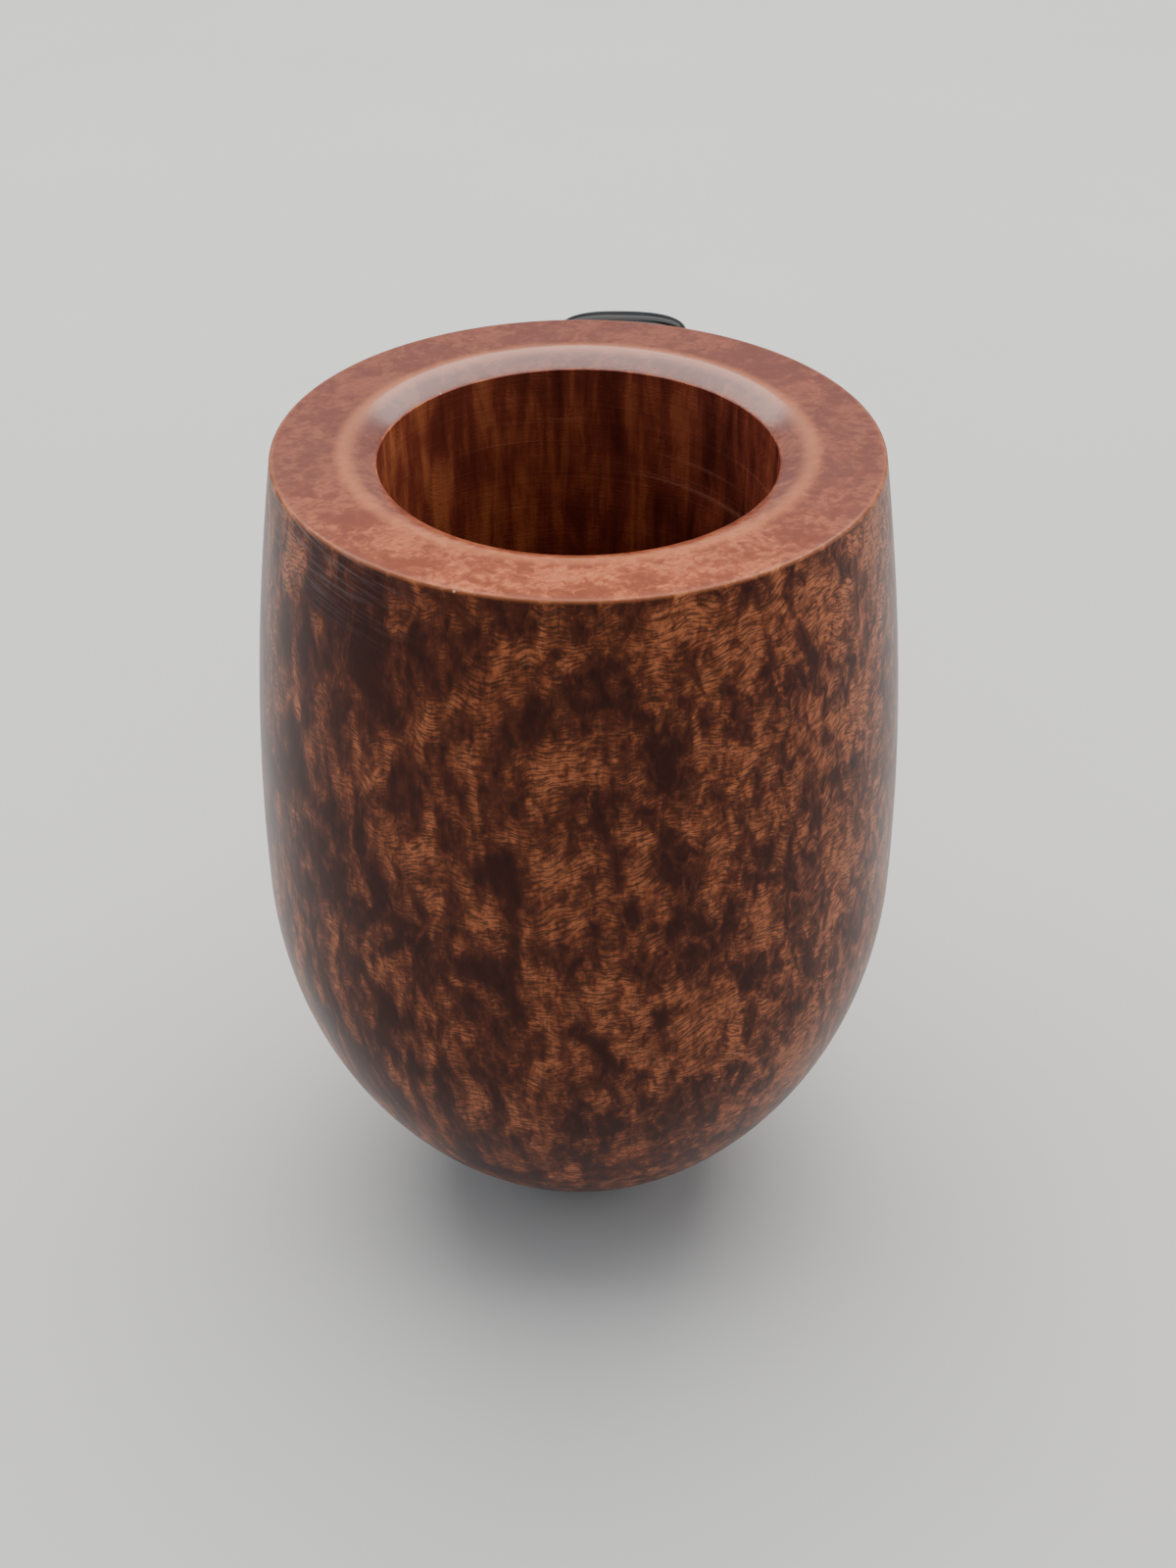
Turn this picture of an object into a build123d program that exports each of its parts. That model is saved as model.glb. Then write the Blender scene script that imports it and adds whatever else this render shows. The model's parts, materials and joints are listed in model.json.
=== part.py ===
"""A straight smoking pipe: a turned briar bowl and shank, a push-fit mouthpiece and a 9 mm filter.

Origin: centre of the bowl's flat foot, on the surface that the pipe stands on.
+Z is up along the tobacco chamber, and the shank runs back along +Y, sloping down
until the lip of the mouthpiece rests on the same surface. Sizes are in millimetres.
"""
from build123d import *
import math
import os

# ---- bowl ----------------------------------------------------------------------------
bowl_height = 49.5         # foot to rim
rim_radius = 16.0
rim_ease = 0.2             # softened outer edge of the rim
rim_flare = 0.16           # how fast the wall opens below the rim, radius over depth
belly_radius = 18.2        # widest ring
belly_height = 23.5
foot_radius = 4.0          # flat that the bowl stands on
belly_fullness = 0.69      # how long the wall stays upright below the belly, 0 to 1
foot_fullness = 0.05       # how far the underside stays level beyond the foot, 0 to 1
brow_fullness = 0.35       # the same for the wall above the belly

# ---- chamber -------------------------------------------------------------------------
chamber_radius = 10.5
chamber_floor = 9.8        # wood left under the chamber
rim_bevel_width = 1.7      # rounded inner edge of the rim
rim_bevel_depth = 0.7
rim_bevel_crease = 12.0    # degrees that it drops where it leaves the flat rim

# ---- shank and its bores -------------------------------------------------------------
shank_length = 55.0        # chamber axis to shank face, along the shank
shank_root_radius = 7.9
shank_end_radius = 7.5
shank_blend = 3.0          # fillet between shank and bowl
airway_height = 12.3       # where the shank's axis crosses the chamber's axis
draught_radius = 2.0
mortise_depth = 18.6
filter_bore_gap = 0.3      # radial space round the filter past the mortise
filter_bore_depth = 12.6   # past the mortise

# ---- mouthpiece ----------------------------------------------------------------------
stem_length = 67.0         # shank face to lip
stem_face_relief = 0.25    # small chamfer that marks the joint with the shank
bit_half_width = 6.9       # bite zone, in front of the lip
bit_half_thickness = 2.15
waist_half_width = 6.2     # narrowest place, seen from above
waist_half_thickness = 4.2
waist_place = 0.55         # where on the taper the waist is: 0 at the tenon's end, 1 at the bite zone
shoulder_width_drop = 0.45 # how much slimmer the stem is where the tenon ends, each side
shoulder_drop = 0.65       # the same, above and below
shoulder_swell = 0.15      # how far the stem may swell past that outline on its way to the waist
bit_length = 12.0          # flat bite zone in front of the lip
bit_flare = 0.2            # how much the bite zone still changes along its length
lip_width = 14.6
lip_length = 4.8
lip_thickness = 5.6
lip_bulge = 1.6            # how far the end face swells
lip_corner = 2.4
lip_ease = 1.3
stem_airway_radius = 1.6
slot_width = 8.0           # opening between the lips
slot_height = 1.6
slot_depth = 7.0

# ---- tenon ---------------------------------------------------------------------------
tenon_radius = 5.5
tenon_reach = 18.0         # length that stands out of the mouthpiece
tenon_root = 12.0          # length glued into the mouthpiece
tenon_chamfer = 0.4
push_fit = 0.03            # radial clearance between tenon and mortise

# ---- filter --------------------------------------------------------------------------
filter_radius = 4.5
filter_length = 38.0
filter_paper = 0.35        # wall of the sleeve
cap_face = 1.0             # end disc of a cap
cap_skirt = 3.0            # depth that a cap reaches into the sleeve
cap_wall = 0.7
cap_hole_radius = 0.55
cap_hole_circle = 1.9
cap_hole_count = 6
filter_gap = 0.6           # free space at the filter's inner end
filter_fit = 0.06          # radial clearance between filter and tenon

# ---- the shank's slope ---------------------------------------------------------------
def touching_slope(reach, half_thickness, ease=0.0):
    """Slope at which an underside edge, eased by a radius, meets the surface under the foot.

    airway_height - ease = reach * sin(slope) + (half_thickness - ease) * cos(slope)
    """
    drop = half_thickness - ease
    return math.asin((airway_height - ease) / math.hypot(reach, drop)) - math.atan2(drop, reach)


taper_start = shank_length + tenon_root
lip_start = shank_length + stem_length - lip_length
taper_end = lip_start - bit_length
waist_distance = taper_start + waist_place * (taper_end - taper_start)

# The pipe leans back until the first of these edges touches: the lip, on a pipe of usual length.
slope = min(
    touching_slope(shank_length + stem_length - lip_ease, lip_thickness / 2, lip_ease),
    touching_slope(waist_distance, waist_half_thickness),
    touching_slope(taper_start, shank_end_radius - shoulder_drop + shoulder_swell),
    touching_slope(shank_length, shank_end_radius),
)


def across_shank(distance):
    """Plane square to the shank's axis, at a distance from the chamber's axis."""
    return Plane(
        origin=(0, distance * math.cos(slope), airway_height - distance * math.sin(slope)),
        x_dir=(-1, 0, 0),
        z_dir=(0, math.cos(slope), -math.sin(slope)),
    )


def along_shank(distance):
    """Plane through the shank's axis, seen from above, with +Y pointing to the lip."""
    here = across_shank(distance)
    return Plane(origin=here.origin, x_dir=(1, 0, 0), z_dir=here.y_dir)


# ---- bowl ----------------------------------------------------------------------------
chamber_ball_height = chamber_floor + chamber_radius
brow_drop = (bowl_height - belly_height) * brow_fullness
bevel_crease = math.radians(rim_bevel_crease)

with BuildPart() as bowl:
    with BuildSketch(Plane.XZ) as bowl_half:
        with BuildLine():
            Line((0, 0), (foot_radius, 0))
            Bezier(
                (foot_radius, 0),
                (foot_radius + foot_fullness * (belly_radius - foot_radius), 0),
                (belly_radius, belly_height * (1 - belly_fullness)),
                (belly_radius, belly_height),
            )
            Bezier(
                (belly_radius, belly_height),
                (belly_radius, belly_height + brow_drop),
                (rim_radius + rim_flare * brow_drop, bowl_height - rim_ease - brow_drop),
                (rim_radius, bowl_height - rim_ease),
            )
            CenterArc((rim_radius - rim_ease, bowl_height - rim_ease), rim_ease, 0, 90)
            Polyline((rim_radius - rim_ease, bowl_height), (0, bowl_height), (0, 0))
        make_face()
    revolve(axis=Axis.Z)

    with BuildSketch(across_shank(0)):
        Circle(shank_root_radius)
    with BuildSketch(across_shank(shank_length)):
        Circle(shank_end_radius)
    loft()
    behind_bowl = bowl.edges().filter_by_position(Axis.Y, foot_radius, belly_radius)
    fillet(behind_bowl.sort_by(Axis.Z)[0], shank_blend)

    with BuildSketch(Plane.XZ) as chamber_half:
        with BuildLine():
            Line((0, bowl_height), (0, chamber_floor))
            CenterArc((0, chamber_ball_height), chamber_radius, -90, 90)
            Line((chamber_radius, chamber_ball_height), (chamber_radius, bowl_height - rim_bevel_depth))
            TangentArc(
                (chamber_radius + rim_bevel_width, bowl_height),
                (chamber_radius, bowl_height - rim_bevel_depth),
                tangent=(-math.cos(bevel_crease), -math.sin(bevel_crease)),
            )
            Line((chamber_radius + rim_bevel_width, bowl_height), (0, bowl_height))
        make_face()
    revolve(axis=Axis.Z, mode=Mode.SUBTRACT)

    bores = (
        (-draught_radius, draught_radius),
        (shank_length - mortise_depth - filter_bore_depth, filter_radius + filter_bore_gap),
        (shank_length - mortise_depth, tenon_radius + push_fit),
    )
    for start, bore_radius in bores:
        with BuildSketch(across_shank(start)):
            Circle(bore_radius)
        extrude(amount=shank_length - start, mode=Mode.SUBTRACT)

bowl.part.label = "bowl"

# ---- mouthpiece ----------------------------------------------------------------------
lip_plane = along_shank(lip_start)
lip_side = lip_length - lip_bulge

with BuildPart() as lip:
    with BuildSketch(lip_plane.offset(-lip_thickness / 2)) as lip_plan:
        with BuildLine():
            Polyline((-lip_width / 2, lip_side), (-lip_width / 2, 0), (lip_width / 2, 0), (lip_width / 2, lip_side))
            ThreePointArc((-lip_width / 2, lip_side), (0, lip_length), (lip_width / 2, lip_side))
        make_face()
        fillet(lip_plan.vertices().group_by(Axis.Y)[0], lip_ease)
        fillet(lip_plan.vertices().group_by(Axis.Y)[-1], lip_corner)
    extrude(amount=lip_thickness)
    levels = lip.edges().group_by(Axis((0, 0, 0), lip_plane.z_dir))
    fillet(levels[0] + levels[-1], lip_ease)

stem_sections = (
    (shank_length, shank_end_radius, shank_end_radius),
    (taper_start, shank_end_radius - shoulder_width_drop, shank_end_radius - shoulder_drop),
    (waist_distance, waist_half_width, waist_half_thickness),
    (taper_end, bit_half_width - bit_flare, bit_half_thickness + bit_flare),
    (lip_start + lip_length / 2, bit_half_width, bit_half_thickness),
)

with BuildPart() as mouthpiece:
    for distance, half_width, half_thickness in stem_sections:
        with BuildSketch(across_shank(distance)):
            Ellipse(half_width, half_thickness)
    loft()
    chamfer(mouthpiece.edges().sort_by(Axis.Y)[0], stem_face_relief)
    add(lip.part)

    with BuildSketch(across_shank(shank_length)):
        Circle(tenon_radius)
    extrude(amount=tenon_root, mode=Mode.SUBTRACT)
    with BuildSketch(across_shank(shank_length)):
        Circle(stem_airway_radius)
    extrude(amount=stem_length - slot_depth / 2, mode=Mode.SUBTRACT)
    with BuildSketch(across_shank(shank_length + stem_length - slot_depth)):
        SlotOverall(slot_width, slot_height)
    extrude(amount=slot_depth, mode=Mode.SUBTRACT)

mouthpiece.part.label = "mouthpiece"

# ---- tenon ---------------------------------------------------------------------------
with BuildPart() as tenon:
    with BuildSketch(across_shank(shank_length - tenon_reach)):
        Circle(tenon_radius)
        Circle(filter_radius + filter_fit, mode=Mode.SUBTRACT)
    extrude(amount=tenon_reach + tenon_root)
    chamfer(tenon.edges().group_by(Axis.Y)[0].sort_by(SortBy.LENGTH)[-1], tenon_chamfer)

tenon.part.label = "tenon"

# ---- filter --------------------------------------------------------------------------
filter_start = shank_length - mortise_depth - filter_bore_depth + filter_gap
filter_end = filter_start + filter_length
sleeve_bore = filter_radius - filter_paper

with BuildPart() as filter_sleeve:
    with BuildSketch(across_shank(filter_start + cap_face)):
        Circle(filter_radius)
        Circle(sleeve_bore, mode=Mode.SUBTRACT)
    extrude(amount=filter_length - 2 * cap_face)

filter_sleeve.part.label = "filter_sleeve"


def filter_cap(outer_face, inward, label):
    """A drilled end disc with a skirt that reaches into the sleeve; inward is 1 or -1."""
    with BuildPart() as cap:
        with BuildSketch(across_shank(outer_face)):
            Circle(filter_radius)
            with PolarLocations(cap_hole_circle, cap_hole_count):
                Circle(cap_hole_radius, mode=Mode.SUBTRACT)
        extrude(amount=inward * cap_face)
        with BuildSketch(across_shank(outer_face + inward * cap_face)):
            Circle(sleeve_bore)
            Circle(sleeve_bore - cap_wall, mode=Mode.SUBTRACT)
        extrude(amount=inward * cap_skirt)
    cap.part.label = label
    return cap


filter_front_cap = filter_cap(filter_start, 1, "filter_front_cap")
filter_back_cap = filter_cap(filter_end, -1, "filter_back_cap")

with BuildPart() as filter_charcoal:
    with BuildSketch(across_shank(filter_start + cap_face + cap_skirt)):
        Circle(sleeve_bore)
    extrude(amount=filter_length - 2 * (cap_face + cap_skirt))

filter_charcoal.part.label = "filter_charcoal"

# ---- files ---------------------------------------------------------------------------
pieces = (bowl, mouthpiece, tenon, filter_sleeve, filter_front_cap, filter_back_cap, filter_charcoal)
os.makedirs("parts", exist_ok=True)
for piece in pieces:
    export_step(piece.part, f"parts/{piece.part.label}.step")
    print(piece.part.label, round(piece.part.volume), "mm3")
print("the shank slopes", round(math.degrees(slope), 3), "degrees")
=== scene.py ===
# %% [markdown]
# # A straight smoking pipe
#
# The pipe is a bowl and shank turned from one block of briar, a black mouthpiece that pushes
# into the shank, and a paper filter inside. This notebook builds what the eye sees around a
# fixed model of the design: every size is in metres, +Z is up, and the shank runs along +Y.

import json
import math

import bpy
import numpy as np
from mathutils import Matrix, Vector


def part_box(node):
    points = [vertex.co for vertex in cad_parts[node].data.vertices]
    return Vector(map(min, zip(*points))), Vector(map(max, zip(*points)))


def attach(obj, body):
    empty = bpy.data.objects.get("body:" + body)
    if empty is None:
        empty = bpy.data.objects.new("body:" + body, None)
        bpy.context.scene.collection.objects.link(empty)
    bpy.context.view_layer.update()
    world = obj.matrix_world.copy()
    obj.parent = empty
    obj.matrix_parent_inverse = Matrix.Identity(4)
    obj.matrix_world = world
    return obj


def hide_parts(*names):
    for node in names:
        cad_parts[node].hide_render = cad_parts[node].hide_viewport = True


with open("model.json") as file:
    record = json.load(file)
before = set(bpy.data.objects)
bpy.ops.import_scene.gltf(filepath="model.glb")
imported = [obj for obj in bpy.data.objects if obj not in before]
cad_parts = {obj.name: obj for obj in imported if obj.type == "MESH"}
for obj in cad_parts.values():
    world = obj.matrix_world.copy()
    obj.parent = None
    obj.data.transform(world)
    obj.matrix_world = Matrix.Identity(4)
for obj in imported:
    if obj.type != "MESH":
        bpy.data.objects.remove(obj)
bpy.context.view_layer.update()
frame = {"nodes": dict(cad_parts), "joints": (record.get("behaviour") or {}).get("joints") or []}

# %% [markdown]
# ## Sizes
#
# What the fixed model already holds is read from it: the height and the widest ring of the
# bowl, the tenon and the filter, and the line of the shank, which is the axis that the
# mouthpiece turns on. The rest are the turner's own sizes.

# %% Sizes read from the fixed model
mm = 0.001
bowl_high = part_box("bowl")[1]
bowl_height = bowl_high[2]
belly_radius = bowl_high[0]
tenon_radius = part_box("tenon")[1][0]
filter_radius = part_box("filter_sleeve")[1][0]

twist = next(j for j in frame["joints"] if j["name"] == "mouthpiece_twist")
shank_face = np.array(twist["pos_m"])
along = np.array(twist["axis"]) / np.linalg.norm(twist["axis"])
across = np.array((1.0, 0.0, 0.0))
upward = np.cross(across, along)
shank_length = shank_face[1] / along[1]
print("bowl", bowl_height, belly_radius, "shank", shank_length, "tenon", tenon_radius)

# %% Sizes of the bowl and the shank
rim_radius = 16.0 * mm
rim_ease = 0.2 * mm
rim_flare = 0.16
belly_height = 23.5 * mm
foot_radius = 4.0 * mm
belly_fullness, foot_fullness, brow_fullness = 0.69, 0.05, 0.35
chamber_radius = 10.5 * mm
chamber_floor = 9.8 * mm
bevel_width, bevel_depth = 1.7 * mm, 0.7 * mm
bevel_crease = 12.0  # degrees that it drops where it leaves the flat rim
shank_root_radius, shank_end_radius = 7.9 * mm, 7.5 * mm
shank_blend = 3.0 * mm
draught_radius = 2.0 * mm
mortise_radius, mortise_depth = tenon_radius + 0.03 * mm, 18.6 * mm
filter_bore_radius, filter_bore_depth = filter_radius + 0.3 * mm, 12.6 * mm

# %% Sizes of the mouthpiece, the tenon and the filter
stem_length = 67.0 * mm
face_relief = 0.25 * mm
lip_length, lip_bulge, lip_ease = 4.8 * mm, 1.6 * mm, 1.3 * mm
lip_half_width, lip_half_thickness = 7.3 * mm, 2.8 * mm
bit_half_width, bit_half_thickness = 6.9 * mm, 2.15 * mm
waist_distance, bit_distance, bit_middle = 33 * mm, 50 * mm, 58 * mm  # from the shank's face
slot_half_width, slot_half_height, slot_depth = 4.0 * mm, 0.8 * mm, 7.0 * mm
slot_flare_half_width, slot_flare_half_height = 5.2 * mm, 1.35 * mm
airway_radius = 1.6 * mm
tenon_reach, tenon_root, tenon_chamfer = 18.0 * mm, 12.0 * mm, 0.4 * mm
filter_fit = 0.06 * mm
filter_paper, cap_face = 0.35 * mm, 1.0 * mm
filter_length, filter_gap = 38.0 * mm, 0.6 * mm

# %% [markdown]
# ## Curves and closed surfaces
#
# A turned piece is its outline swept round an axis, and a moulded one is a ring whose size
# changes along a path. Both are grids of points: rows run along the outline, columns go round.
# Arcs and cubic curves give the outline, and one function turns any grid into a closed mesh.


# %% Curves
def arc(centre, radius, start, end, count):
    """Circle: centre plus radius times the cosine and sine of angles from start to end, in degrees."""
    angle = np.radians(np.linspace(start, end, count))
    return np.column_stack([centre[0] + radius * np.cos(angle), centre[1] + radius * np.sin(angle)])


def cubic(a, b, c, d, count):
    """Cubic curve: the four points weighted by (1-t)^3, 3t(1-t)^2, 3t^2(1-t) and t^3."""
    t = np.linspace(0, 1, count)[:, None]
    a, b, c, d = (np.array(point) for point in (a, b, c, d))
    return a * (1 - t) ** 3 + 3 * b * t * (1 - t) ** 2 + 3 * c * t**2 * (1 - t) + d * t**3


def straight(a, b, count):
    """Evenly spaced points from a to b."""
    return np.linspace(a, b, count)


def smooth_through(at, stations, values):
    """Smooth curve through values at stations: between two of them, the cubic that has their
    values and their slopes, where each slope is the mean slope of its neighbours."""
    stations, values = np.array(stations), np.array(values)
    slopes = np.gradient(values, stations)
    left = np.clip(np.searchsorted(stations, at) - 1, 0, len(stations) - 2)
    width = stations[left + 1] - stations[left]
    t = (at - stations[left]) / width
    ends = values[left] * (1 + 2 * t) * (1 - t) ** 2 + values[left + 1] * t**2 * (3 - 2 * t)
    return ends + width * (slopes[left] * t * (1 - t) ** 2 - slopes[left + 1] * t**2 * (1 - t))


print("a quarter circle has", len(arc((0, 0), 1, 0, 90, 9)), "points here")


# %% A grid of points becomes a closed mesh
sharp_degrees = 35


def closed_mesh(name, grid, body, looped=False, crease=sharp_degrees):
    """Four neighbours in the grid share a face and the columns close on themselves. The rows
    close on themselves too if looped, and otherwise a fan of triangles closes each end."""
    rows, columns = grid.shape[:2]
    points = grid.reshape(-1, 3)
    index = np.arange(rows * columns).reshape(rows, columns)
    if looped:
        index = np.vstack([index, index[:1]])
    right = np.roll(index, -1, axis=1)
    quads = np.stack([index[:-1], right[:-1], right[1:], index[1:]], axis=-1).reshape(-1, 4)
    fans = []
    if not looped:
        first, last = len(points), len(points) + 1
        points = np.vstack([points, grid[0].mean(axis=0), grid[-1].mean(axis=0)])
        fans = [(first, b, a) for a, b in zip(index[0], right[0])]
        fans += [(last, a, b) for a, b in zip(index[-1], right[-1])]
    a, b, c, d = (points[quads[:, k]] for k in range(4))
    halves = (np.einsum("ij,ij->i", a, np.cross(*side)).sum() for side in ((b, c), (c, d)))
    faces = quads.tolist() + [tuple(int(k) for k in fan) for fan in fans]
    if sum(halves) < 0:  # the volume is negative, so the faces look inward
        faces = [face[::-1] for face in faces]
    mesh = bpy.data.meshes.new(name)
    mesh.from_pydata(points.tolist(), [], faces)
    mesh.polygons.foreach_set("use_smooth", np.ones(len(mesh.polygons), dtype=bool))
    mesh.set_sharp_from_angle(angle=math.radians(crease))
    mesh.validate()
    piece = bpy.data.objects.new(name, mesh)
    bpy.context.scene.collection.objects.link(piece)
    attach(piece, body)
    print(name, len(mesh.vertices), "points", len(mesh.polygons), "faces")
    return piece


# %% Rings round the chamber's axis, and rings round the shank's axis
def turned(outline, columns):
    """Each outline point (r, z) becomes the ring (r cos a, r sin a, z)."""
    angle = np.linspace(0, 2 * np.pi, columns, endpoint=False)
    radius, height = outline[:, :1], outline[:, 1:]
    return np.stack([radius * np.cos(angle), radius * np.sin(angle), height + 0 * angle], axis=-1)


def on_shank(distance, sideways, up):
    """A point given by its distance along the shank's axis from the chamber's axis, and its
    offsets sideways and up from that axis."""
    start = shank_face - shank_length * along
    terms = ((distance, along), (sideways, across), (up, upward))
    return start + sum(np.asarray(size)[..., None] * direction for size, direction in terms)


def turned_on_shank(outline, columns):
    """Each outline point (distance, r) becomes a ring of radius r round the shank's axis."""
    angle = np.linspace(0, 2 * np.pi, columns, endpoint=False)
    distance, radius = outline[:, :1], outline[:, 1:]
    return on_shank(distance + 0 * angle, radius * np.cos(angle), radius * np.sin(angle))


print("the shank's axis meets the chamber's at", on_shank(0.0, 0.0, 0.0))

# %% [markdown]
# ## The bowl
#
# A turner cuts the bowl on a lathe, so one outline swept round the chamber's axis is the whole
# of it: the small flat foot, the round belly, the wall drawn in towards the rim, the thin eased
# edge, the flat rim, the rounded bevel and the drilled chamber with its round floor.

# %% The bowl's outline, from the foot to the rim
brow_drop = (bowl_height - belly_height) * brow_fullness
under = cubic(
    (foot_radius, 0.0),
    (foot_radius + foot_fullness * (belly_radius - foot_radius), 0.0),
    (belly_radius, belly_height * (1 - belly_fullness)),
    (belly_radius, belly_height),
    64,
)
brow = cubic(
    (belly_radius, belly_height),
    (belly_radius, belly_height + brow_drop),
    (rim_radius + rim_flare * brow_drop, bowl_height - rim_ease - brow_drop),
    (rim_radius, bowl_height - rim_ease),
    56,
)
outer_wall = np.vstack([under, brow[1:]])
print("outer wall", len(outer_wall), "points, widest", outer_wall[:, 0].max())

# %% The rim, the bevel and the chamber
bowl_columns = 320
floor_stop = -87  # degrees: just short of the axis, where a fan of triangles closes the floor
eased_edge = arc((rim_radius - rim_ease, bowl_height - rim_ease), rim_ease, 0, 90, 7)
rim_flat = straight((rim_radius - rim_ease, bowl_height), (chamber_radius + bevel_width, bowl_height), 9)
bevel_turn = math.degrees(math.atan2(bevel_depth, bevel_width)) - bevel_crease
bevel_radius = math.hypot(bevel_width, bevel_depth) / (2 * math.sin(math.radians(bevel_turn)))
bevel_centre = (chamber_radius + bevel_width + bevel_radius * math.sin(math.radians(bevel_crease)),
                bowl_height - bevel_radius * math.cos(math.radians(bevel_crease)))
bevel = arc(bevel_centre, bevel_radius, 90 + bevel_crease, 90 + bevel_crease + 2 * bevel_turn, 11)
chamber_ball = chamber_floor + chamber_radius
chamber_wall = straight((chamber_radius, bowl_height - bevel_depth), (chamber_radius, chamber_ball), 20)
chamber_end = arc((0, chamber_ball), chamber_radius, 0, floor_stop, 30)
foot = straight((foot_radius * 0.1, 0.0), (foot_radius, 0.0), 4)
after_wall = (eased_edge, rim_flat, bevel, chamber_wall, chamber_end)
outline = np.vstack([foot[:-1], outer_wall, *(part[1:] for part in after_wall)])
bowl = closed_mesh("bowl_turned", turned(outline, bowl_columns), "bowl")
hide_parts("bowl")


# %% Drill the draught hole into the chamber's floor
def drill(piece, start, end, radius):
    """Takes a cylinder round the shank's axis out of a piece."""
    rod = straight((start, radius), (end, radius), 2)
    tool = closed_mesh(piece.name + "_drill", turned_on_shank(rod, 48), "bowl")
    cut = piece.modifiers.new("drill", "BOOLEAN")
    cut.operation, cut.solver, cut.object = "DIFFERENCE", "EXACT", tool
    bpy.context.view_layer.update()
    seen = piece.evaluated_get(bpy.context.evaluated_depsgraph_get())
    piece.data = bpy.data.meshes.new_from_object(seen)
    piece.modifiers.clear()
    bpy.data.objects.remove(tool)
    piece.data.set_sharp_from_angle(angle=math.radians(sharp_degrees))
    print(piece.name, "drilled,", len(piece.data.polygons), "faces")


drill(bowl, 0.0, belly_radius + 4 * mm, draught_radius)

# %% [markdown]
# ## The shank
#
# The shank grows out of the bowl with a hollow curve that a file and sandpaper leave, as if a
# ball were rolled along the corner. Distance fields give that curve: where a point is nearer
# than the ball's radius to both the bowl and the straight shank, the surface is a quarter round
# between them. On each ray out from the shank's axis, the surface is found by halving.


# %% Distances from the bowl and from the straight shank
def distance_from_bowl(points):
    """Signed distance in the plane of the outline: to the nearest outline point, along its normal."""
    flat = np.stack([np.hypot(points[..., 0], points[..., 1]), points[..., 2]], axis=-1)
    way = np.gradient(outer_wall, axis=0)
    normal = np.stack([way[:, 1], -way[:, 0]], axis=-1)
    normal /= np.linalg.norm(normal, axis=1, keepdims=True)
    gap = flat[..., None, :] - outer_wall
    nearest = (gap**2).sum(axis=-1).argmin(axis=-1)
    offset = np.take_along_axis(gap, nearest[..., None, None], axis=-2)[..., 0, :]
    return (offset * normal[nearest]).sum(axis=-1)


def shank_radius_at(distance):
    """Straight taper from the chamber's axis to the shank's face."""
    return shank_root_radius + (shank_end_radius - shank_root_radius) * distance / shank_length


def halve(low, high, outside, steps=26):
    """Halves the span between low and high, keeping the half where outside() turns positive."""
    for _ in range(steps):
        middle = (low + high) / 2
        out = outside(middle) > 0
        low, high = np.where(out, low, middle), np.where(out, middle, high)
    return (low + high) / 2


# %% The blended surface
def rounded_union(from_bowl, from_shank):
    """Both distances over the blend's radius: the smaller. Both under it: the ball's round."""
    ball = np.hypot(np.maximum(shank_blend - from_bowl, 0), np.maximum(shank_blend - from_shank, 0))
    return np.maximum(shank_blend, np.minimum(from_bowl, from_shank)) - ball


shank_columns, blend_rows = 144, 44
turn = np.linspace(0, 2 * np.pi, shank_columns, endpoint=False)


def ray_point(distance, radius):
    """The point at a radius from the shank's axis, in the direction of each column."""
    return on_shank(distance, radius * np.cos(turn), radius * np.sin(turn))


def off_the_bowl(distance):
    """Positive once the outer end of the blend has left the bowl."""
    return distance_from_bowl(ray_point(distance, shank_radius_at(distance) + shank_blend))


blend_limit, blend_end = 30 * mm, 25 * mm
blend_start = halve(np.zeros(shank_columns), np.full(shank_columns, blend_limit), off_the_bowl)
share = (1 - np.cos(np.linspace(0, np.pi / 2, blend_rows)))[:, None]
blend_distance = blend_start + (blend_end - blend_start) * share
straight_radius = shank_radius_at(blend_distance)


def off_the_wood(radius):
    """Positive outside the blended bowl and shank."""
    from_bowl = distance_from_bowl(ray_point(blend_distance, radius))
    return rounded_union(from_bowl, radius - straight_radius)


blend_radius = halve(straight_radius * 0.98, straight_radius + shank_blend * 1.02, off_the_wood)
print("the blend begins", blend_start.min(), "to", blend_start.max(), "from the chamber's axis")

# %% The shank's rings: sunk start, blend, straight, face, mortise, filter bore, draught hole
sunk = ray_point(blend_start - 0.5 * mm, blend_radius[0] - 0.2 * mm)[None]
blended = ray_point(blend_distance, blend_radius)
face_ease = 0.15 * mm
mortise_floor = shank_length - mortise_depth
filter_floor = mortise_floor - filter_bore_depth
shank_outline = np.array([
    *straight((blend_end + 1 * mm, shank_radius_at(blend_end + 1 * mm)),
              (shank_length - face_ease, shank_end_radius), 24),
    (shank_length, shank_end_radius - face_ease),
    (shank_length, mortise_radius + 2 * face_ease),
    (shank_length - 2 * face_ease, mortise_radius),
    (mortise_floor, mortise_radius),
    (mortise_floor, filter_bore_radius),
    (filter_floor, filter_bore_radius),
    (filter_floor - draught_radius, draught_radius),
    (chamber_radius, draught_radius),
])
rings = np.concatenate([sunk, blended, turned_on_shank(shank_outline, shank_columns)])
shank = closed_mesh("shank", rings, "bowl", looped=True)
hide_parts("bowl")

# %% [markdown]
# ## The mouthpiece
#
# A stem is filed from rod: round where it meets the shank, flat and fish-tailed at the bite
# zone, and thicker again at the lip that the teeth hold. Each ring is a rounded box, written as
# a superellipse whose exponent grows from 2, a circle, to nearly a rectangle at the lip.

# %% Rings of a rounded box
stem_columns = 160
stem_turn = np.linspace(0, 2 * np.pi, stem_columns, endpoint=False)


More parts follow.
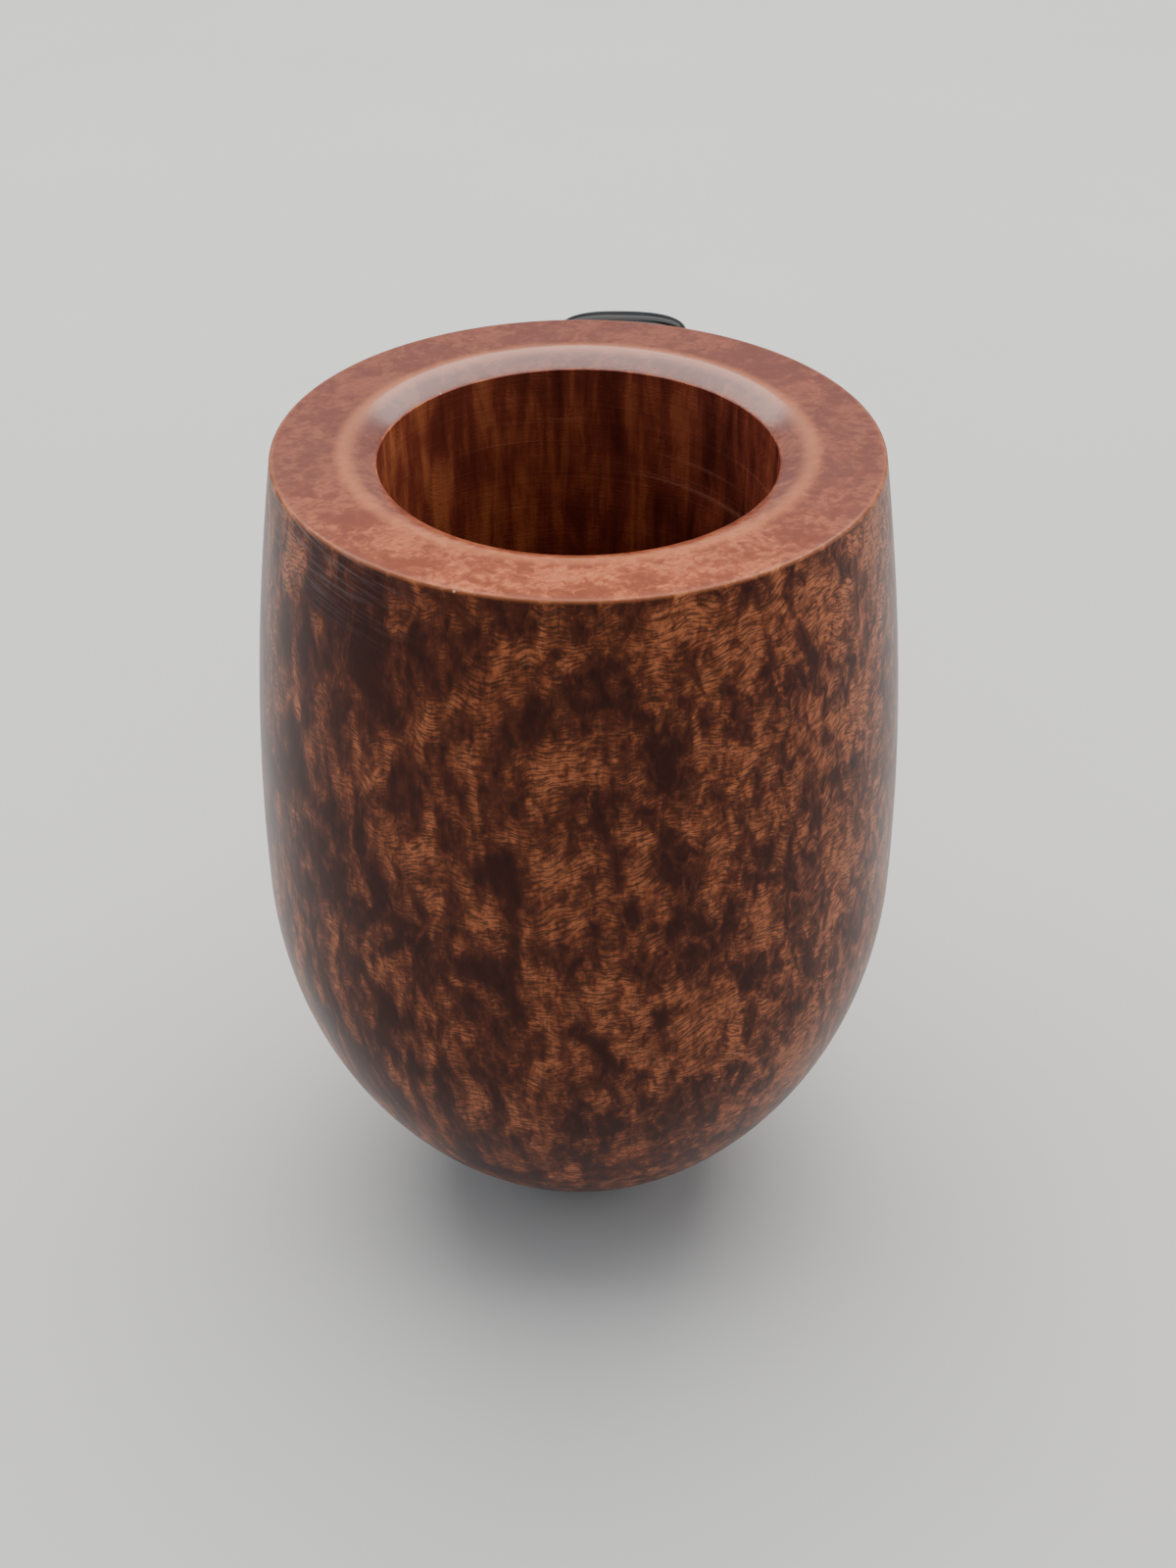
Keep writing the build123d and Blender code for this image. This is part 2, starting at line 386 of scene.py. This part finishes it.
def box_rings(distance, half_width, half_height, exponent, bulge):
    """Superellipse: sideways = half width times the cosine to the power 2/exponent, up = half
    height times the sine to the same power, both with their signs. A bulge moves the ring along
    the axis by one minus the square of its sideways share."""
    distance, half_width, half_height, exponent, bulge = (
        np.asarray(v, dtype=float)[:, None] for v in (distance, half_width, half_height, exponent, bulge))
    cosine, sine = np.cos(stem_turn), np.sin(stem_turn)
    sideways = half_width * np.sign(cosine) * np.abs(cosine) ** (2 / exponent)
    up = half_height * np.sign(sine) * np.abs(sine) ** (2 / exponent)
    return on_shank(distance + bulge * (1 - (sideways / lip_half_width) ** 2), sideways, up)


# %% The stem, from its face to the bite zone
stem_end = shank_length + stem_length
lip_start = stem_end - lip_length
stem_at = np.linspace(shank_length + face_relief, lip_start, 84)
stem_stations = shank_length + np.array(
    (0.0, tenon_root, waist_distance, bit_distance, bit_middle, lip_start - shank_length))
stem_width = smooth_through(stem_at, stem_stations, np.array((7.5, 7.05, 6.2, 6.6, 6.85, 6.9)) * mm)
stem_height = smooth_through(stem_at, stem_stations, np.array((7.5, 6.85, 4.2, 2.45, 2.15, 2.1)) * mm)
stem_shape = smooth_through(stem_at, stem_stations, (2.0, 2.03, 2.15, 2.4, 2.55, 2.6))
stem = box_rings(stem_at, stem_width, stem_height, stem_shape, 0 * stem_at)
print("the stem is", round(stem_height.min() * 2 / mm, 2), "mm thick at its thinnest")

# %% The lip: a hollow up from the bite zone, a round crown, and a soft end edge
hollow = arc((0.0, 0.8), 0.8, -90, -20, 8)[1:]
crown = arc((1.75, 0.0), 1.0, 170, 90, 8)
lip_from = np.concatenate([hollow[:, 0], 0.35 + crown[:, 0] * 0.6])
lip_proud = np.concatenate([hollow[:, 1] / 0.8 * 0.35, 0.35 + crown[:, 1] * 0.65])
lip_proud = np.clip(lip_proud, 0, 1)
end_rows = 12
end_turn = np.radians(np.linspace(0, 90, end_rows))
end_from = (lip_length - lip_bulge - lip_ease) / mm + lip_ease / mm * np.sin(end_turn)
end_inset = lip_ease / mm * (1 - np.cos(end_turn))
lip_distance = lip_start + np.concatenate([lip_from, end_from]) * mm
lip_grow = np.concatenate([lip_proud, np.ones(end_rows)])
lip_inset = np.concatenate([0 * lip_proud, end_inset]) * mm
lip_width = bit_half_width + (lip_half_width - bit_half_width) * lip_grow - lip_inset
lip_height = bit_half_thickness + (lip_half_thickness - bit_half_thickness) * lip_grow - lip_inset
lip_round = np.linspace(0, 1, len(lip_distance))
lip = box_rings(lip_distance, lip_width, lip_height, 2.6 + 1.2 * lip_round, lip_bulge * lip_round**0.5)

# %% The slot between the lips, the airway, the tenon's socket and the face
slot_mouth = stem_end - lip_bulge
inner = (
    # distance, half width, half height, exponent, bulge
    (slot_mouth, slot_flare_half_width, slot_flare_half_height, 3.8, lip_bulge),
    (slot_mouth - 0.05 * mm, slot_half_width + 0.6 * mm, slot_half_height + 0.3 * mm, 3.6, lip_bulge),
    (slot_mouth - 0.35 * mm, slot_half_width + 0.1 * mm, slot_half_height + 0.05 * mm, 3.4, lip_bulge),
    (slot_mouth - 1.2 * mm, slot_half_width * 0.96, slot_half_height, 3.2, lip_bulge * 0.7),
    (slot_mouth - slot_depth, slot_half_width * 0.6, slot_half_height, 2.6, 0.0),
    (slot_mouth - slot_depth * 1.7, airway_radius, airway_radius * 0.8, 2.0, 0.0),
    (shank_length + tenon_root * 1.3, airway_radius, airway_radius, 2.0, 0.0),
    (shank_length + tenon_root + 0.01 * mm, airway_radius, airway_radius, 2.0, 0.0),
    (shank_length + tenon_root, tenon_radius, tenon_radius, 2.0, 0.0),
    (shank_length, tenon_radius, tenon_radius, 2.0, 0.0),
    (shank_length, shank_end_radius - face_relief, shank_end_radius - face_relief, 2.0, 0.0),
)
inside_rings = box_rings(*np.array(inner).T)
mouthpiece = closed_mesh("stem", np.concatenate([stem, lip, inside_rings]), "mouthpiece",
                         looped=True, crease=32)
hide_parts("mouthpiece")

# %% [markdown]
# ## The tenon and the filter
#
# The tenon is a plain plastic tube glued into the stem, and the filter is a rolled paper tube
# with a drilled ceramic cap in each end. The tubes are outlines turned round the shank's axis.
# The two caps and the charcoal keep the fixed model's own shape.


# %% Tubes
def tube(name, start, end, outer, bore, ease, body):
    """A tube with both ends eased: its outline goes out along the outside and back in the bore."""
    outline = np.array([
        (start, outer - ease), *straight((start + ease, outer), (end - ease, outer), 12),
        (end, outer - ease),
        (end, bore + ease / 2), *straight((end - ease / 2, bore), (start + ease / 2, bore), 12),
        (start, bore + ease / 2),
    ])
    return closed_mesh(name, turned_on_shank(outline, 96), body, looped=True, crease=28)


tenon = tube("tenon_tube", shank_length - tenon_reach, shank_length + tenon_root, tenon_radius,
             filter_radius + filter_fit, tenon_chamfer, "mouthpiece")
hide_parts("tenon")
filter_start = filter_floor + filter_gap
sleeve = tube("paper_sleeve", filter_start + cap_face, filter_start + filter_length - cap_face,
              filter_radius, filter_radius - filter_paper, 0.03 * mm, "filter")
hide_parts("filter_sleeve")

# %% [markdown]
# ## Finishes as expressions
#
# A finish is a tree of nodes. Written as arithmetic it stays readable: `Field` wraps what comes
# out of a node, and its operators add the Math or Vector Math node that they stand for. All
# other nodes come from one method, `Finish.node`, which takes the node's type, its settings and
# what goes into its sockets.


# %% A value that varies over a surface
def is_vector(term):
    """A Field knows its own kind. Of plain terms, a tuple is a vector and a number is not."""
    return getattr(term, "vector", isinstance(term, tuple))


class Field:
    """Wraps an output socket. Arithmetic on it adds nodes: Vector Math if either side is a
    vector, and Math if not."""

    def __init__(self, finish, socket):
        self.finish, self.socket = finish, socket
        self.vector = socket.type in {"VECTOR", "RGBA"}

    def combine(self, operation, *others, swap=False):
        terms = (self, *others)[::-1] if swap else (self, *others)
        kind = "ShaderNodeVectorMath" if any(map(is_vector, terms)) else "ShaderNodeMath"
        return self.finish.node(kind, {"operation": operation}, dict(enumerate(terms)))

    def __add__(self, other):
        return self.combine("ADD", other)

    __radd__ = __add__

    def __mul__(self, other):
        return self.combine("MULTIPLY", other)

    __rmul__ = __mul__

    def __sub__(self, other):
        return self.combine("SUBTRACT", other)

    def __rsub__(self, other):
        return self.combine("SUBTRACT", other, swap=True)

    def __truediv__(self, other):
        return self.combine("DIVIDE", other)

    def __rtruediv__(self, other):
        return self.combine("DIVIDE", other, swap=True)

    def __pow__(self, other):
        return self.combine("POWER", other)

    def ramp(self, low, high):
        """0 at low, 1 at high, and a smooth step between. Low may be over high."""
        settings = {"interpolation_type": "SMOOTHSTEP"}
        sockets = {"Value": self, "From Min": low, "From Max": high}
        return self.finish.node("ShaderNodeMapRange", settings, sockets)


# %% A finish: the node tree of one material
class Finish:
    """Makes a material. node() adds any node, and surface() gives it its shader."""

    def __init__(self, name):
        self.material = bpy.data.materials.new(name)
        self.material.use_nodes = True
        self.tree = self.material.node_tree
        self.tree.nodes.clear()
        self.place = self.node("ShaderNodeTexCoord", {}, {}, "Object") * (1 / mm, 1 / mm, 1 / mm)
        self.x, self.y, self.z = (self.part(self.place, axis) for axis in "XYZ")

    def node(self, kind, settings, sockets, output=0):
        made = self.tree.nodes.new(kind)
        stops = settings.get("stops")
        for name, value in settings.items():
            if name != "stops":
                setattr(made, name, value)
        if stops:
            while len(made.color_ramp.elements) < len(stops):
                made.color_ramp.elements.new(0.5)
            for element, (position, colour) in zip(made.color_ramp.elements, stops):
                element.position, element.color = position, (*colour, 1.0)
        for name, value in sockets.items():
            shown = [s for s in made.inputs if s.enabled]
            socket = shown[name] if isinstance(name, int) else next(s for s in shown if s.name == name)
            if isinstance(value, Field):
                self.tree.links.new(value.socket, socket)
            elif socket.type == "RGBA" and len(value) == 3:
                socket.default_value = (*value, 1.0)
            else:
                socket.default_value = value
        shown = [s for s in made.outputs if s.enabled]
        if not shown:
            return None
        chosen = shown[output] if isinstance(output, int) else next(s for s in shown if s.name == output)
        return Field(self, chosen)

    def part(self, vector, axis):
        return self.node("ShaderNodeSeparateXYZ", {}, {0: vector}, axis)

    def join(self, x, y, z):
        return self.node("ShaderNodeCombineXYZ", {}, {0: x, 1: y, 2: z})

    def noise(self, point, scale=1.0, detail=2.0, rough=0.5, bend=0.0):
        sockets = {"Vector": point, "Scale": scale, "Detail": detail, "Roughness": rough}
        sockets["Distortion"] = bend
        return self.node("ShaderNodeTexNoise", {"noise_dimensions": "3D"}, sockets)

    def cells(self, point, scale):
        """Distance to the nearest of many scattered points."""
        settings = {"voronoi_dimensions": "3D", "feature": "F1"}
        sockets = {"Vector": point, "Scale": scale}
        return self.node("ShaderNodeTexVoronoi", settings, sockets, "Distance")

    def mix(self, share, a, b):
        """Colour a where share is 0, colour b where it is 1."""
        settings = {"data_type": "RGBA", "blend_type": "MIX", "clamp_factor": True}
        return self.node("ShaderNodeMix", settings, {"Factor": share, "A": a, "B": b})

    def over(self, base, *layers):
        """Lays colours over a base one by one, each by its share."""
        for share, colour in layers:
            base = self.mix(share, base, colour)
        return base

    def colours(self, share, *stops):
        return self.node("ShaderNodeValToRGB", {"stops": stops}, {"Fac": share})

    def bump(self, height, strength, depth):
        sockets = {"Height": height, "Strength": strength, "Distance": depth}
        return self.node("ShaderNodeBump", {}, sockets)

    def surface(self, sockets):
        shader = self.node("ShaderNodeBsdfPrincipled", {}, sockets)
        self.node("ShaderNodeOutputMaterial", {"is_active_output": True}, {"Surface": shader})
        return self.material


print("finishes are ready to be written")

# %% [markdown]
# ## Briar
#
# Briar is the burl of a heath tree. Where the cut runs along the fibres it shows flames, and
# across them it shows small eyes and dark knots, with a fine silky ripple in the paler wood. A
# dark stain sinks into the soft parts, an orange one covers the rest, and carnauba wax gives the
# gloss. The figure is a solid pattern, so it runs through the rim, the chamber and the shank.

# %% Briar, part 1: the way the grain runs
briar = Finish("briar_waxed")
apex_x, apex_drop = 4.0, 46.0
drift = briar.noise(briar.place, 0.055, 2.0, 0.5) - 0.5
fan = apex_drop / (briar.z + (apex_drop + drift * 20.0))
grain_x = (briar.x - apex_x) * fan
grain_y = briar.y * fan
wave = briar.noise(briar.place * (1.0, 1.0, 0.6), 0.20, 2.0, 0.55) - 0.5
print("grain fans out from", apex_drop, "mm under the foot")

# %% Briar, part 2: flames, knots and eyes
licking = briar.join(grain_x + wave * 2.2, grain_y - wave * 2.2, briar.z * 0.21)
flames = briar.noise(licking, 1.05, 4.0, 0.58, 0.25)
broad = briar.noise(briar.join(grain_x, grain_y, briar.z * 0.40), 0.34, 3.0, 0.55, 0.40)
blots = briar.noise(briar.join(grain_x, grain_y, briar.z * 0.50), 0.62, 4.0, 0.60, 0.45)
eyes = briar.noise(briar.place * (1.0, 1.0, 0.60), 1.30, 3.0, 0.60, 0.60)
threads = briar.noise(briar.join(grain_x, grain_y, briar.z * 0.13), 1.90, 3.0, 0.60, 0.20)
left = (briar.x + drift * 10.0).ramp(3.0, -11.0)
right = (briar.x + drift * 8.0).ramp(0.0, 12.0)
# The shares below come to 1 everywhere, so the figure stays centred as it changes across the bowl.
figure = (flames * (0.26 + left * 0.18) + threads * left * 0.26 + broad * 0.22
          + blots * (0.24 - left * 0.16 - right * 0.10)
          + eyes * (0.28 - left * 0.28 + right * 0.10))
tone = (figure + (0.014 - left * 0.020 + right * 0.014)).ramp(0.408, 0.600)

# %% Briar, part 3: the silky ripple, the hairs and the pores
ripple_height = briar.z - briar.x * 0.10 - briar.x * briar.x * 0.004 + wave * 4.2
ripples_per_mm = 9.0
silk = briar.join(briar.x * 1.7, briar.y * 1.7, ripple_height * ripples_per_mm)
ripples = briar.noise(silk, 1.0, 2.0, 0.55, 0.30)
ripple = ripples.ramp(0.38, 0.60)
combed = briar.join((briar.x - briar.y) * 5.0, (briar.x + briar.y) * 0.9, briar.z * 0.9)
hairs = briar.noise(combed, 1.0, 2.0, 0.6)
pores = briar.noise(briar.join(grain_x, grain_y, briar.z * 0.25), 5.0, 2.0, 0.6)

# %% Briar, part 4: where the rim, the bevel, the edge and the chamber are
radius = (briar.x * briar.x + briar.y * briar.y) ** 0.5
top, rim_edge, chamber_edge = bowl_height / mm, rim_radius / mm, chamber_radius / mm
bevel_edge = chamber_edge + bevel_width / mm
on_top = briar.z.ramp(top - 0.9, top - 0.5)
in_chamber = radius.ramp(chamber_edge + 0.12, chamber_edge + 0.02) * briar.z.ramp(9.0, 9.6)
in_chamber = in_chamber * briar.y.ramp(14.0, 12.0)
rim = on_top * radius.ramp(rim_edge - 0.02, rim_edge - 0.2) * (1.0 - in_chamber)
bevel_ring = on_top * radius.ramp(bevel_edge + 0.35, bevel_edge - 0.05) * (1.0 - in_chamber)
crease_ring = radius.ramp(bevel_edge + 0.7, bevel_edge) * rim
crease_ring = crease_ring * radius.ramp(bevel_edge - 0.9, bevel_edge - 0.1)
# A thin lighter line round the rim's outer edge: partly stain worn off the edge, partly a painted
# highlight.
edge_wear_and_highlight = radius.ramp(rim_edge - 0.35, rim_edge - 0.1) * briar.z.ramp(top - 0.22, top - 0.08)

# %% Briar, part 5: stain colours, with painted shade on the far rim and painted light on the rim, its edge and the chamber's left wall
mottle = briar.noise(briar.place * (1.0, 1.0, 0.7), 1.7, 4.0, 0.62, 0.5)
patches = briar.noise(briar.place, 0.26, 3.0, 0.60, 0.4)
# The rim's tone sits higher than the wall's: partly sanded through the stain, partly painted light on the
# top face.
rim_tone = 0.72 + (mottle - 0.5) * 3.2 + (figure - 0.5) * 3.6 + (patches - 0.5) * 3.6
shown = tone + (rim_tone - tone) * rim
stained = briar.colours(
    shown,
    (0.00, (0.0310, 0.0044, 0.0017)),
    (0.25, (0.0520, 0.0096, 0.0042)),
    (0.50, (0.1050, 0.0235, 0.0095)),
    (0.78, (0.2400, 0.0640, 0.0240)),
    (1.00, (0.4000, 0.1220, 0.0500)),
)
pale = shown.ramp(0.20, 0.75)
# Painted shade: the rim's colour darkens and greys towards its far side and its two ends.
far_rim_painted_shade = rim * (briar.y + briar.x * briar.x * 0.024).ramp(-17.0, 3.0)
streaks = briar.noise(briar.join(briar.x, briar.y, briar.z * 0.15), 0.85, 4.0, 0.60, 0.35)
# The last term makes the chamber's wall lighter on the left and darker on the right: painted light and
# shade.
bored_with_painted_side_light = (streaks * 0.7 + blots * 0.3).ramp(0.34, 0.68) * 0.80 + (briar.x * -0.016 + 0.06)
inside = briar.colours(
    bored_with_painted_side_light,
    (0.0, (0.075, 0.014, 0.009)),
    (0.5, (0.190, 0.040, 0.021)),
    (1.0, (0.400, 0.120, 0.045)),
)
wood = briar.over(
    stained,
    ((1.0 - ripple) * pale * (0.72 - rim * 0.46), (0.024, 0.006, 0.003)),  # between the ripples
    (hairs.ramp(0.56, 0.36) * (0.25 + rim * 0.15), (0.030, 0.008, 0.004)),
    (pores.ramp(0.46, 0.34) * 0.35, (0.008, 0.003, 0.002)),
    # paler rim: partly sanded through the stain, partly painted light on the top face
    (rim * 0.28, (0.56, 0.116, 0.036)),  # sanded paler
    # painted shade on the far side of the rim
    (far_rim_painted_shade * 0.66, (0.090, 0.028, 0.024)),
    (crease_ring * 0.40, (0.54, 0.175, 0.068)),
    # worn edge and painted highlight along the rim's outer edge
    (edge_wear_and_highlight * 0.25, (0.48, 0.170, 0.070)),
    (in_chamber, inside),
)

# %% Briar, part 6: wax, turning marks, dust, and fine scratches with a painted sheen
lathe_turns = briar.join(radius * 0.05, briar.x * 0.05, (briar.z + briar.x * 0.05) * 2.6)
rings_cut = briar.noise(lathe_turns, 1.0, 3.0, 0.7)
ring_line = rings_cut.ramp(0.60, 0.72) * in_chamber
dust = briar.cells(briar.place, 0.22).ramp(0.022, 0.014)
rubbing = briar.join(briar.x * 0.4 + briar.z, briar.y * 0.4, briar.z * 7.0 + briar.x)
scratches = briar.noise(rubbing, 1.0, 2.0, 0.6)
scuff = briar.z.ramp(top - 5.0, top - 0.5) * (1.0 - in_chamber) * (1.0 - rim)
# Fine scratches under the rim on the left, coloured pale bluish grey: real scratches with a painted
# reflection on them.
scratches_and_painted_sheen = scuff * briar.x.ramp(-5.0, -13.0) * scratches.ramp(0.48, 0.66)
wood = briar.over(
    wood,
    (ring_line * 0.22, (0.50, 0.24, 0.15)),
    (dust * 0.6, (0.55, 0.42, 0.36)),
    # painted sheen on the scratches
    (scratches_and_painted_sheen * 0.22, (0.30, 0.26, 0.27)),
)
cloud = briar.noise(briar.place, 0.22, 3.0, 0.55)
gloss = 0.24 + cloud * 0.12 + scuff * 0.05 + in_chamber * 0.12 + rim * 0.06
relief = ripple * pale * 0.5 + pores * 0.3 + scratches * scuff * 0.5 + rings_cut * in_chamber * 2.2
briar_finish = briar.surface({
    "Base Color": wood, "Roughness": gloss, "Normal": briar.bump(relief, 0.35, 0.00004),
    "Specular IOR Level": 0.12, "Coat Roughness": 0.16,
    "Coat Weight": bevel_ring * 0.36 + rim * 0.05 + far_rim_painted_shade * 0.32,
})
for piece in (bowl, shank):
    piece.data.materials.append(briar_finish)
print("briar has", len(briar.tree.nodes), "nodes")

# %% [markdown]
# ## Black mouthpiece
#
# The stem is cut from black rod and buffed with fine compound. Buffing leaves hair scratches
# along the stem and a shallow cloudiness, both far finer than the eye notices at first.

# %% Buffed black
black = Finish("buffed_black")
buffed = black.noise(black.place * (3.5, 0.25, 3.5), 2.0, 3.0, 0.6)
haze = black.noise(black.place, 0.30, 2.0, 0.5)
deep = black.mix(haze.ramp(0.35, 0.7), (0.0035, 0.0035, 0.0042), (0.009, 0.008, 0.008))
black_finish = black.surface({
    "Base Color": deep, "Roughness": 0.16 + haze * 0.10 + buffed * 0.05,
    "Normal": black.bump(buffed, 0.12, 0.00002), "Specular IOR Level": 0.25,
})
mouthpiece.data.materials.append(black_finish)
print("black has", len(black.tree.nodes), "nodes")

# %% [markdown]
# ## Tenon, paper, ceramic and charcoal
#
# The tenon is white bearing plastic with the rings of the lathe tool left on it. The filter's
# paper is rolled, its caps are unglazed ceramic, and its core is crushed charcoal.

# %% White tenon
white = Finish("turned_white")
lathe = white.noise(white.place * (0.02, 9.0, 0.02), 1.0, 2.0, 0.6)
milky = white.noise(white.place, 0.5, 2.0, 0.5)
white_finish = white.surface({
    "Base Color": white.mix(milky, (0.74, 0.72, 0.66), (0.84, 0.82, 0.77)),
    "Roughness": 0.34 + lathe * 0.14, "Normal": white.bump(lathe, 0.4, 0.00003),
    "Subsurface Weight": 0.15, "Subsurface Radius": (0.002, 0.0018, 0.0015),
})
tenon.data.materials.append(white_finish)

# %% Filter paper
paper = Finish("rolled_paper")
fibres = paper.noise(paper.place * (2.0, 7.0, 2.0), 1.2, 4.0, 0.65, 0.6)
blotch = paper.noise(paper.place, 0.45, 2.0, 0.5)
paper_finish = paper.surface({
    "Base Color": paper.mix(fibres.ramp(0.3, 0.75), (0.66, 0.60, 0.49), (0.86, 0.82, 0.72)),
    "Roughness": 0.80 + blotch * 0.12, "Normal": paper.bump(fibres, 0.5, 0.00005),
})
sleeve.data.materials.append(paper_finish)

# %% Unglazed ceramic and charcoal
ceramic = Finish("unglazed_ceramic")
grit = ceramic.cells(ceramic.place, 6.0)
speck = ceramic.noise(ceramic.place, 9.0, 2.0, 0.6)
ceramic_finish = ceramic.surface({
    "Base Color": ceramic.mix(speck.ramp(0.35, 0.65), (0.60, 0.56, 0.50), (0.82, 0.79, 0.73)),
    "Roughness": 0.72 + grit * 0.15, "Normal": ceramic.bump(grit, 0.4, 0.00004),
})
charcoal = Finish("crushed_charcoal")
grains = charcoal.cells(charcoal.place, 1.6)
glint = charcoal.noise(charcoal.place, 5.0, 2.0, 0.5)
charcoal_finish = charcoal.surface({
    "Base Color": charcoal.mix(glint, (0.008, 0.008, 0.009), (0.035, 0.034, 0.034)),
    "Roughness": 0.55 + glint * 0.3, "Normal": charcoal.bump(grains, 0.9, 0.0003),
})
for node, finish in (("filter_front_cap", ceramic_finish), ("filter_back_cap", ceramic_finish),
                     ("filter_charcoal", charcoal_finish)):
    frame["nodes"][node].data.materials.clear()
    frame["nodes"][node].data.materials.append(finish)
print("filter is finished")

# %% [markdown]
# ## Stage, light and camera
#
# The floor is one pale sheet. A wide soft light hangs overhead and a little
# behind, so the rim's bevel and the upper sides carry a soft sheen. The camera stands close in
# front of the bowl and looks down at about 36 degrees.

# %% Pale sheet
sheet = Finish("pale_sheet")
faded = sheet.noise(sheet.place, 0.02, 3.0, 0.5)
sheet_finish = sheet.surface({
    "Base Color": sheet.mix(faded, (0.50, 0.49, 0.475), (0.54, 0.53, 0.515)),
    "Roughness": 0.75 + faded * 0.1,
})
floor_mesh = bpy.data.meshes.new("floor")
half_floor = 3.0
floor_mesh.from_pydata([(-half_floor, -half_floor, 0), (half_floor, -half_floor, 0),
                        (half_floor, half_floor, 0), (-half_floor, half_floor, 0)], [], [(0, 1, 2, 3)])
floor = bpy.data.objects.new("floor", floor_mesh)
bpy.context.scene.collection.objects.link(floor)
floor.data.materials.append(sheet_finish)


# %% Soft lights
def soft_light(name, at, towards, size, power, colour):
    """A square lamp that faces a point."""
    lamp = bpy.data.lights.new(name, "AREA")
    lamp.shape, lamp.size, lamp.energy, lamp.color = "SQUARE", size, power, colour
    holder = bpy.data.objects.new(name, lamp)
    bpy.context.scene.collection.objects.link(holder)
    holder.location = at
    way = Vector(towards) - Vector(at)
    holder.rotation_euler = way.to_track_quat("-Z", "Y").to_euler()
    print(name, power, "W")


soft_light("overhead", (0.0, 0.20, 0.62), (0, 0.02, 0.03), 0.85, 11.0, (1.0, 0.985, 0.96))
soft_light("left_window", (-0.7, 0.05, 0.40), (0, 0, 0.03), 0.6, 2.0, (0.90, 0.95, 1.0))
soft_light("right_wall", (0.7, 0.10, 0.35), (0, 0, 0.03), 0.6, 2.0, (0.92, 0.96, 1.0))
world = bpy.data.worlds.new("room")
bpy.context.scene.world = world
world.use_nodes = True
air = world.node_tree.nodes["Background"].inputs
air["Color"].default_value = (0.80, 0.87, 0.95, 1.0)
air["Strength"].default_value = 0.45

# %% Camera
camera_distance, camera_rise, camera_side = 97.2 * mm, 48.6 * mm, 0.5 * mm
camera_turn, camera_pitch = math.radians(2.1), math.radians(35.94)
lens = bpy.data.cameras.new("camera")
lens.lens, lens.sensor_width = 47.4, 36.0
lens.clip_start, lens.clip_end = 0.005, 20.0
camera = bpy.data.objects.new("camera", lens)
bpy.context.scene.collection.objects.link(camera)
right_hand = Vector((math.cos(camera_turn), math.sin(camera_turn), 0))
toward = Vector((-math.sin(camera_turn), math.cos(camera_turn), 0))
camera_foot = right_hand * camera_side - toward * camera_distance
camera.location = camera_foot + Vector((0, 0, bowl_height + camera_rise))
camera.rotation_euler = (math.pi / 2 - camera_pitch, 0, camera_turn)
bpy.context.scene.camera = camera
print("camera at", tuple(round(v, 4) for v in camera.location))
